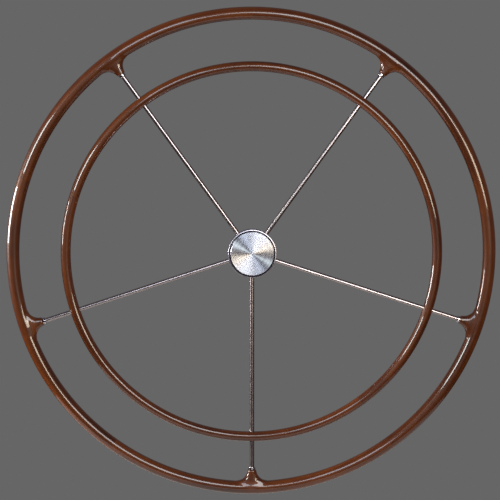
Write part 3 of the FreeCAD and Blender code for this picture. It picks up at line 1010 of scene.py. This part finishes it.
@dataclass(frozen=True)
class GrabRing:
    """The inner ring: five bent pieces of the same wood, drilled for the spokes."""

    datum: Datum
    finish: Finish
    section: float = 12.5 * MM
    holes: tuple[Hole, ...] = (  # towards the axis, at the back for the screw, and away
        Hole(0.0, 5.60625 * MM, 4.0 * MM, math.radians(38.0)),
        Hole(math.pi / 2, 3.55 * MM, 8.0 * MM, math.radians(28.0)),
        Hole(math.pi, 5.60625 * MM, 4.0 * MM, math.radians(38.0)),
    )
    edge_round: float = 0.5 * MM
    dowel_bore: tuple[float, float] = (4.05 * MM, 20.0 * MM)
    rings: int = 12  # rings of quads from a hole's middle to its patch's edge
    edge_ring: int = 7  # the rings of the rounded edge's outside and inside and of
    wall_ring: int = 4  # the floor's edge
    floor_ring: int = 3
    patch_length: float = 8.4 * MM  # half of it, along the bar
    long_rows: int = 60
    row_growth: float = 1.25
    spare_columns: int = 5  # between two holes, and four times as many in front
    grain_shift: tuple[float, float, float] = (2.3, 0.41, 0.29)

    @property
    def bar(self) -> Bar:
        """The bent bar without its holes."""
        return Bar(self.datum.ring_outer - self.section, self.section)

    @property
    def patch_angle(self) -> float:
        """Half the angle round the wheel that a hole's patch takes."""
        return self.patch_length / self.bar.radius

    def patch(self, hole: Hole) -> np.ndarray:
        """The square of grid points round one hole: the bar's side, a rounded edge, wall and floor.

        Args:
            hole: the hole.

        Returns:
            Array (rows, columns, 3).
        """
        rows, columns, ring, angle = square_rings(self.rings)
        edge_along, edge_turn = hole.edge(self.bar, angle, hole.radius + self.edge_round)
        share = share_of(ring, self.edge_ring, self.rings)
        turn = edge_turn + (hole.reach * columns - edge_turn) * share
        surface = self.bar.points(edge_along + (self.patch_angle * rows - edge_along) * share,
                                  hole.around + turn)
        bend = share_of(ring, self.edge_ring, self.wall_ring) * math.pi / 2
        wall_along, wall_turn = hole.edge(self.bar, angle, hole.radius)
        mouth = self.bar.points(wall_along, hole.around + wall_turn)
        line = np.array([math.cos(hole.around), math.sin(hole.around), 0.0])
        centre = np.array([self.bar.radius, 0.0, 0.0])
        sunk = mouth - line * self.edge_round
        outside = self.bar.points(edge_along, hole.around + edge_turn)
        out = (1 - np.sin(bend))[..., None]
        rounding = sunk + (outside - sunk) * out \
            + line * self.edge_round * (np.cos(bend)[..., None] - out)
        height = ((mouth - centre) @ line)[..., None]
        floor = mouth + line * (hole.depth - height)
        pole = centre + line * hole.depth
        disc = pole + (floor - pole) * share_of(ring, 0, self.floor_ring)[..., None]
        points = np.where((ring > self.edge_ring)[..., None], surface, rounding)
        return np.where((ring <= self.floor_ring)[..., None], disc, points)

    def segment(self) -> np.ndarray:
        """All rows of one piece on the +X spoke.

        Returns:
            Array (rows, columns, 3), y from the wheel's plane.
        """
        side = 2 * self.rings + 1
        inner = np.linspace(-self.patch_angle, self.patch_angle, side)
        share = np.linspace(0, 1, self.long_rows + 1)[1:] ** self.row_growth
        far = self.patch_angle + (SECTOR / 2 - self.patch_angle) * share
        along = np.concatenate([-far[::-1], inner, far])
        around, starts = [], []
        for hole, after in zip(self.holes, self.holes[1:] + self.holes[:1]):
            starts.append(sum(len(part) for part in around))
            around.append(np.linspace(hole.around - hole.reach, hole.around + hole.reach, side))
            gap_start, gap_end = hole.around + hole.reach, after.around - after.reach
            gap_end += 2 * math.pi if gap_end < gap_start else 0.0
            count = self.spare_columns * (4 if gap_end - gap_start > math.pi / 3 else 1)
            around.append(np.linspace(gap_start, gap_end, count + 2)[1:-1])
        columns = np.concatenate(around)
        grid = self.bar.points(along[:, None], columns[None, :])
        for hole, start in zip(self.holes, starts):
            grid[self.long_rows:self.long_rows + side, start:start + side] = self.patch(hole)
        first, last = self.bar.dowel_ends(columns, *self.dowel_bore)
        return np.concatenate([first, grid, last])

    def build(self) -> None:
        """Builds, dresses and mounts the five pieces."""
        wooden_pieces(self.segment(), self.bar, self.datum.plane, self.finish,
                      ("ring_wood", "ring_segment"), self.grain_shift)


def wooden_pieces(local: np.ndarray, bar: Bar, plane: float, finish: Finish,
                  names: tuple[str, str], shift: Sequence[float]) -> None:
    """The same piece of bent wood at every spoke, each cut from another part of the stick.

    Args:
        local: the rows of the piece on the +X spoke.
        bar: the bar that it follows.
        plane: y of the wheel's plane.
        finish: the wood's material.
        names: start of the new pieces' names and of the CAD nodes' that they stand for.
        shift: how far the grain is moved on from one piece to the next.
    """
    poles = np.stack([local[0].mean(axis=0), local[-1].mean(axis=0)])
    grain = bar.grain(np.concatenate([local.reshape(-1, 3), poles]))
    lift = np.array([0.0, plane, 0.0])
    name, node = names
    for number, piece in at_every_spoke(name, local + lift, poles=poles + lift):
        grain_attribute(piece, grain + np.array(shift) * number)
        mount(piece, finish, Slot.WOOD, f"{node}_{number}")


# ---- steel --------------------------------------------------------------------------
@dataclass(frozen=True)
class Rods:
    """The spokes: polished rods, turned down for the thread at both ends."""

    datum: Datum
    segments: int = 64
    radius: float = 5.55625 * MM
    thread: float = 4.7625 * MM
    stations: tuple[float, ...] = (  # an end, the two shoulders and the other end
        36.0 * MM, 46.0 * MM, 556.0 * MM, 571.0 * MM)
    chamfer: float = 0.8 * MM
    rings: int = 24

    def profile(self) -> np.ndarray:
        """The rod's outline from its inner end to its outer end.

        Returns:
            Array (n, 2) of radius and station.
        """
        start, inner, outer, end = self.stations
        length = [(self.radius, station)
                  for station in np.linspace(inner + MM, outer - MM, self.rings)]
        return np.array([
            (self.thread - self.chamfer, start), (self.thread, start + self.chamfer),
            (self.thread, inner), (self.radius, inner), *length, (self.radius, outer),
            (self.thread, outer), (self.thread, end - self.chamfer),
            (self.thread - self.chamfer, end),
        ])

    def build(self) -> None:
        """Builds, dresses and mounts the five spokes, each polished along its own length."""
        plane, (start, *_, end) = self.datum.plane, self.stations
        loops = laid_on_spoke(lathe(self.profile(), self.segments), plane)
        poles = np.array([[start, plane, 0.0], [end, plane, 0.0]])
        for number, piece in at_every_spoke("rod", loops, poles=poles):
            finish = Metal(f"polished_rod_{number}", colour(190, 178, 176), 0.24,
                           (12.0, 500.0, 500.0), turn=spoke_angle(number - 1), variation=0.04,
                           mark_depth=0.0005 * MM)
            mount(piece, finish.material(), Slot.POLISHED, f"spoke_{number}")


@dataclass(frozen=True)
class Ferrules:
    """The polished collars that close the bosses round their spokes."""

    datum: Datum
    finish: Finish
    segments: int = 72
    bore: float = 5.60625 * MM
    collar: float = 8.5 * MM
    spigot: float = 7.0 * MM
    ends: tuple[float, ...] = (540.5 * MM, 548.0 * MM, 556.0 * MM)  # nose, shoulder, spigot
    groove: tuple[float, ...] = (546.0 * MM, 0.45 * MM, 0.45 * MM)  # middle, half width, depth
    nose_round: float = 2.4 * MM
    edge: float = 0.15 * MM

    def profile(self) -> np.ndarray:
        """The collar's closed outline: a rolled nose, a turned groove and the hidden spigot.

        Returns:
            Array (n, 2) of radius and station.
        """
        nose, shoulder, end = self.ends
        middle, half, depth = self.groove
        floor, edge = self.collar - depth, self.edge
        return rounded([
            (self.bore, nose, edge * 1.2), (self.collar, nose, self.nose_round),
            (self.collar, middle - half, edge), (floor, middle - half * 0.3, edge),
            (floor, middle + half * 0.3, edge), (self.collar, middle + half, edge),
            (self.collar, shoulder, edge * 1.4), (self.spigot, shoulder, 0.0),
            (self.spigot, end, edge * 2), (self.bore, end, 0.0),
        ])

    def build(self) -> None:
        """Builds, dresses and mounts the five collars."""
        loops = laid_on_spoke(lathe(self.profile(), self.segments), self.datum.plane)
        for number, piece in at_every_spoke("collar", loops, closed_rows=True):
            weighted(piece)
            mount(piece, self.finish, Slot.POLISHED, f"ferrule_{number}")


@dataclass(frozen=True)
class HubCap:
    """The face-turned disc with its grooved spigot; stations are counted back from its front."""

    datum: Datum
    finish: Finish
    thickness: float = 4.0 * MM
    spigot: tuple[float, ...] = (21.9 * MM, 26.9 * MM, 12.4 * MM)  # inner, outer, end
    groove: tuple[float, ...] = (24.9 * MM, 7.0 * MM, 9.4 * MM)  # floor, its two walls
    centre_mark: tuple[float, ...] = (0.02 * MM, 1.1 * MM, 0.55 * MM)  # two radii, depth
    chamfer: float = 0.8 * MM
    segments: int = 288

    def profile(self) -> np.ndarray:
        """From the middle of the face round the edge and the spigot to the middle of the back.

        Returns:
            Array (n, 2) of radius and y.
        """
        radius = span("hub_cap", 0)[1]
        inner, outer, end = self.spigot
        floor, near, far = self.groove
        point, dimple, depth = self.centre_mark
        face = [(radius * share, 0.0, 0.0) for share in (0.25, 0.5, 0.75)]
        profile = rounded([
            (point, depth, 0.0), (dimple, 0.0, 0.25 * MM), *face,
            (radius - 0.9 * MM, 0.0, 0.18 * MM), (radius, self.chamfer, 0.2 * MM),
            (radius, self.thickness, 0.3 * MM), (outer, self.thickness, 0.0),
            (outer, near, 0.1 * MM), (floor, near, 0.0), (floor, far, 0.0), (outer, far, 0.1 * MM),
            (outer, end, 0.4 * MM), (inner, end, 0.4 * MM), (inner, self.thickness, 0.0),
            (point, self.thickness, 0.0),
        ])
        return profile + np.array([0.0, self.datum.cap_front])

    def build(self) -> None:
        """Builds, dresses and mounts the cap, with a UV map whose u runs out from the axis."""
        profile = self.profile()
        poles = (np.array([0, profile[0, 1], 0]), np.array([0, profile[-1, 1], 0]))
        piece = make_mesh("hub_cap_disc", lathe(profile, self.segments), poles=poles)
        ring_uv(piece)
        mount(piece, self.finish, Slot.TURNED, "hub_cap", Body.CAP)


@dataclass(frozen=True)
class Bezel:
    """The ring round the cap: a narrow lip that slopes back a little, with a soft edge."""

    datum: Datum
    finish: Finish
    inner_radius: float = 56.8 * MM
    hub_radius: float = 60.0 * MM
    lip: tuple[tuple[float, float, float], ...] = (  # radius, place behind the front, rounding
        (56.8 * MM, 0.0, 0.15 * MM), (57.2 * MM, 0.0, 0.15 * MM),
        (59.5 * MM, 0.4 * MM, 0.5 * MM), (60.0 * MM, 1.0 * MM, 0.4 * MM),
    )
    segments: int = 288

    def build(self) -> None:
        """Builds, dresses and mounts the bezel from its closed outline."""
        front, back = self.datum.bezel
        lip = [(radius, front + behind, rounding) for radius, behind, rounding in self.lip]
        profile = rounded([*lip, (self.hub_radius, back, 0.1 * MM), (self.inner_radius, back, 0.0)],
                          steps=8)
        piece = make_mesh("bezel_ring", lathe(profile, self.segments), closed_rows=True)
        mount(piece, self.finish, Slot.HUB, "hub_bezel")


def ring_uv(piece: Piece) -> None:
    """A UV map whose u is the distance from the axis and v the angle about Y.

    On a face that crosses the seam the angles are unwound by a whole turn, so that no face
    runs backwards round the disc.

    Args:
        piece: the object.
    """
    mesh = piece.data
    layer = mesh.uv_layers.new(name="rings")
    corner_vertex = np.empty(len(mesh.loops), np.int32)
    mesh.loops.foreach_get("vertex_index", corner_vertex)
    place = np.empty(len(mesh.vertices) * 3)
    mesh.vertices.foreach_get("co", place)
    place = place.reshape(-1, 3)[corner_vertex]
    turn = np.arctan2(place[:, 2], place[:, 0]) / (2 * math.pi)
    starts = np.empty(len(mesh.polygons), np.int32)
    totals = np.empty(len(mesh.polygons), np.int32)
    mesh.polygons.foreach_get("loop_start", starts)
    mesh.polygons.foreach_get("loop_total", totals)
    first = np.repeat(turn[starts], totals)
    turn = turn - np.round(turn - first)
    reach = np.hypot(place[:, 0], place[:, 2])
    uv = np.stack([reach * 10, turn], axis=-1)
    layer.data.foreach_set("uv", uv.astype(np.float32).ravel())


@dataclass(frozen=True)
class CarriedOver:
    """The CAD pieces whose shape is right, each given its own finish."""

    hub: Finish
    steel: Colour = colour(196, 196, 198)

    def build(self) -> None:
        """Puts the finishes on the nodes."""
        shaft = Metal("shaft_steel", self.steel, 0.24, (70.0, 1500.0, 70.0))
        fastener = Metal("fastener_steel", self.steel, 0.27, 220.0)
        housing = Metal("housing_metal", colour(168, 172, 176), 0.42, 420.0, mark_depth=0.05 * MM,
                        tone=0.04)
        bronze = Metal("bush_bronze", colour(190, 132, 74), 0.34, (60.0, 1200.0, 60.0), tone=0.08)
        brass = Metal("insert_brass", colour(206, 170, 92), 0.3, 300.0, tone=0.08)
        rubber = Moulded("seal_rubber", colour(28, 28, 30), 0.62)
        plastic = Moulded("thrust_plastic", colour(224, 222, 214), 0.45)
        finishes = (
            (self.hub, "hub_body"),
            (shaft.material(), "shaft", "shaft_key"),
            (fastener.material(), "ring_screws", "spoke_set_screws", "wheel_nut", "nut_washer",
             "shaft_circlip"),
            (housing.material(), "bearing_housing"),
            (bronze.material(), "front_bush", "rear_bush"),
            (brass.material(), "boss_inserts"),
            (rubber.material(), "shaft_seal", "cap_oring"),
            (plastic.material(), "front_thrust_washer", "rear_thrust_washer"),
            (BareWood().material(), "rim_dowels", "ring_dowels"),
        )
        for finish, *nodes in finishes:
            for node in nodes:
                for slot in frame["nodes"][node].material_slots:
                    slot.material = finish
                LOG.info("%s: %s", node, finish.name)


# ---- studio -------------------------------------------------------------------------
@dataclass(frozen=True)
class SoftBox:
    """A rectangular soft light that looks at the wheel's middle.

    The wheel sees it at angles round the Y axis (from +X towards +Z) and at so many degrees
    off the straight-ahead direction -Y; its width lies along the circle round the axis.
    """

    name: str
    around: tuple[float, float]
    off_axis: tuple[float, float]
    radiance: float
    tint: tuple[float, float, float] = (1.0, 1.0, 1.0)
    distance: float = 4.0

    def build(self, aim: Vector) -> None:
        """Makes the light.

        Formula: at the distance d and the middle angle m off the axis, a span of a degrees
        round the axis is 2 d sin m sin(a / 2) wide and a span of b off it 2 d tan(b / 2) high; a
        flat lamp of area A and radiance L gives pi A L watts.

        Args:
            aim: the point that it looks at.
        """
        around, off = (math.radians(sum(pair) / 2) for pair in (self.around, self.off_axis))
        wide, high = (math.radians(pair[1] - pair[0]) for pair in (self.around, self.off_axis))
        direction = Vector((math.cos(around) * math.sin(off), -math.cos(off),
                            math.sin(around) * math.sin(off)))
        side = Vector((-math.sin(around), 0.0, math.cos(around)))
        data = bpy.data.lights.new(self.name, "AREA")
        data.shape = "RECTANGLE"
        data.size = 2 * self.distance * math.sin(off) * math.sin(wide / 2)
        data.size_y = 2 * self.distance * math.tan(high / 2)
        data.energy, data.color = math.pi * data.size * data.size_y * self.radiance, self.tint
        light = bpy.data.objects.new(self.name, data)
        light.matrix_world = Matrix.Translation(aim + direction * self.distance) \
            @ Matrix((side, direction.cross(side), direction)).transposed().to_4x4()
        light.visible_camera = False
        bpy.context.scene.collection.objects.link(light)


@dataclass(frozen=True)
class Studio:
    """Floor, soft lights, surroundings and camera."""

    datum: Datum
    aim_offset: tuple[float, float] = (-5.05 * MM, 7.3 * MM)  # x and z of the point looked at
    azimuth: float = math.radians(-1.9)
    elevation: float = math.radians(5.3)
    distance: float = 4.8
    frame_width: float = 1.2466
    sensor_width: float = 36.0
    surround: Colour = colour(102, 102, 102)
    floor_level: float = -1.10
    floor_radius: float = 1.35
    floor_thickness: float = 0.01
    floor_tints: tuple[Colour, Colour] = (colour(214, 212, 208), colour(224, 222, 218))
    room_radius: float = 7.0
    dusk: Colour = (0.035, 0.028, 0.055, 1.0)  # radiance of the room's dark upper front
    boards: Colour = (0.03, 0.016, 0.014, 1.0)  # of its warm lower half
    daylight: Colour = (0.13, 0.12, 0.125, 1.0)  # of its bright sides and back
    lights: tuple[SoftBox, ...] = (
        SoftBox("broad_window", (18.0, 88.0), (10.0, 30.0), 7.5, (0.95, 0.97, 1.0)),
        SoftBox("sky_window", (100.0, 130.0), (10.0, 30.0), 6.0, (0.78, 0.87, 1.0)),
        SoftBox("left_strip", (150.0, 166.0), (38.0, 55.0), 18.0, (0.9, 1.0, 1.0)),
        SoftBox("side_strip", (168.0, 182.0), (82.0, 100.0), 50.0, (1.0, 0.97, 0.98)),
        SoftBox("warm_lamp", (-2.0, 17.0), (12.0, 35.0), 11.0, (1.0, 0.86, 0.66)),
    )

    @property
    def aim(self) -> Vector:
        """The point that the camera and the lights look at."""
        return Vector((self.aim_offset[0], self.datum.plane, self.aim_offset[1]))

    def room(self) -> None:
        """A large ball round everything, which polished faces mirror and the lens doesn't see."""
        reach = self.room_radius
        tilt = np.linspace(math.radians(3.0), math.radians(177.0), 48)
        profile = np.stack([reach * np.sin(tilt), -reach * np.cos(tilt)], axis=-1)
        piece = make_mesh("room_inside", lathe(profile, 64),
                          poles=(np.array([0, -reach, 0]), np.array([0, reach, 0])))
        piece.data.materials.append(self.glow())
        piece.visible_camera = False
        piece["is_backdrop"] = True

    def glow(self) -> Finish:
        """The room's light by direction from the wheel.

        It is dusky in front above, warm in front below, and pale from the sides and from
        behind, down to a little below the horizon.

        Returns:
            The material.
        """
        n = Nodes("room_glow")
        parts = n.add("SeparateXYZ", {0: n.place()})
        side = n.ramp(parts.outputs[1], -3.4, 0.5)
        up = n.ramp(parts.outputs[2], -3.2, 1.2)
        dark = n.mix(up, self.boards, self.dusk)
        shade = n.mix(n.math("MULTIPLY", side, up), dark, self.daylight)
        n.set(Base_Color=(0.0, 0.0, 0.0, 1.0), Emission_Color=shade, Emission_Strength=1.0,
              Roughness=1.0, Specular_IOR_Level=0.0)
        return n.material

    def floor(self) -> None:
        """A pale round floor below the wheel: rings of points on its top and its underside."""
        radii = np.array([0.45, 0.8, 1.0]) * self.floor_radius
        turn = np.linspace(0, 2 * math.pi, 96, endpoint=False)
        top = np.stack([radii[:, None] * np.cos(turn), radii[:, None] * np.sin(turn),
                        np.full((len(radii), len(turn)), self.floor_level)], axis=-1)
        drop = np.array([0, 0, self.floor_thickness])
        middle = np.array([0, 0, self.floor_level])
        piece = make_mesh("floor", np.concatenate([top, top[::-1] - drop]),
                          poles=(middle, middle - drop))
        n = Nodes("floor_paint")
        cloud = n.noise(n.place(), 3.0)
        n.set(Base_Color=n.mix(n.ramp(cloud, 0.3, 0.7), *self.floor_tints), Roughness=0.7)
        piece.data.materials.append(n.material)
        piece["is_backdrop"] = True

    def world(self) -> None:
        """Even mid-grey surroundings."""
        world = bpy.data.worlds.new("surroundings")
        world.use_nodes = True
        background = world.node_tree.nodes["Background"]
        background.inputs["Color"].default_value = self.surround
        background.inputs["Strength"].default_value = 1.0
        bpy.context.scene.world = world
        bpy.context.scene.view_settings.view_transform = "Standard"

    def camera(self) -> None:
        """A long lens from a little above and to the left of the axis."""
        level = math.cos(self.elevation)
        back = Vector((math.sin(self.azimuth) * level, -math.cos(self.azimuth) * level,
                       math.sin(self.elevation)))
        data = bpy.data.cameras.new("camera")
        data.sensor_width = self.sensor_width
        data.lens = self.sensor_width * self.distance / self.frame_width
        data.clip_start, data.clip_end = 0.1, 50.0
        view = bpy.data.objects.new("camera", data)
        view.location = self.aim + back * self.distance
        view.rotation_mode = "QUATERNION"
        view.rotation_quaternion = (-back).to_track_quat("-Z", "Y")
        bpy.context.scene.collection.objects.link(view)
        bpy.context.scene.camera = view

    def build(self) -> None:
        """Sets up the whole studio."""
        self.room()
        self.floor()
        self.world()
        for light in self.lights:
            light.build(self.aim)
        self.camera()


def write_sizes() -> None:
    """Works out the CAD box and the visual model's box as plain lists, and keeps neither."""
    boxes = {"cad": CAD_BOX, "visual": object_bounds()}
    {name: [list(corner) for corner in box] for name, box in boxes.items()}


def main() -> None:
    """Builds every sub-assembly in order."""
    logging.basicConfig(level=logging.INFO, format="%(message)s")
    datum = Datum()
    wood = VarnishedWood().material()
    polished = Metal("polished_steel", colour(218, 214, 214), 0.09, 300.0, variation=0.06)
    # the hub's steel carries painted shade, a dark band in the groove round the cap
    hub = Metal("hub_steel", colour(190, 184, 194), 0.3, (90.0, 900.0, 90.0), variation=0.05,
                seal=PaintedGrooveShade(51.0 * MM, 57.9 * MM, datum.plane - 8.0 * MM)).material()
    Rim(datum, wood).build()
    GrabRing(datum, wood).build()
    Rods(datum).build()
    Ferrules(datum, polished.material()).build()
    HubCap(datum, FaceTurned().material()).build()
    Bezel(datum, hub).build()
    CarriedOver(hub).build()
    Studio(datum).build()
    write_sizes()


if __name__ == "__main__":
    main()
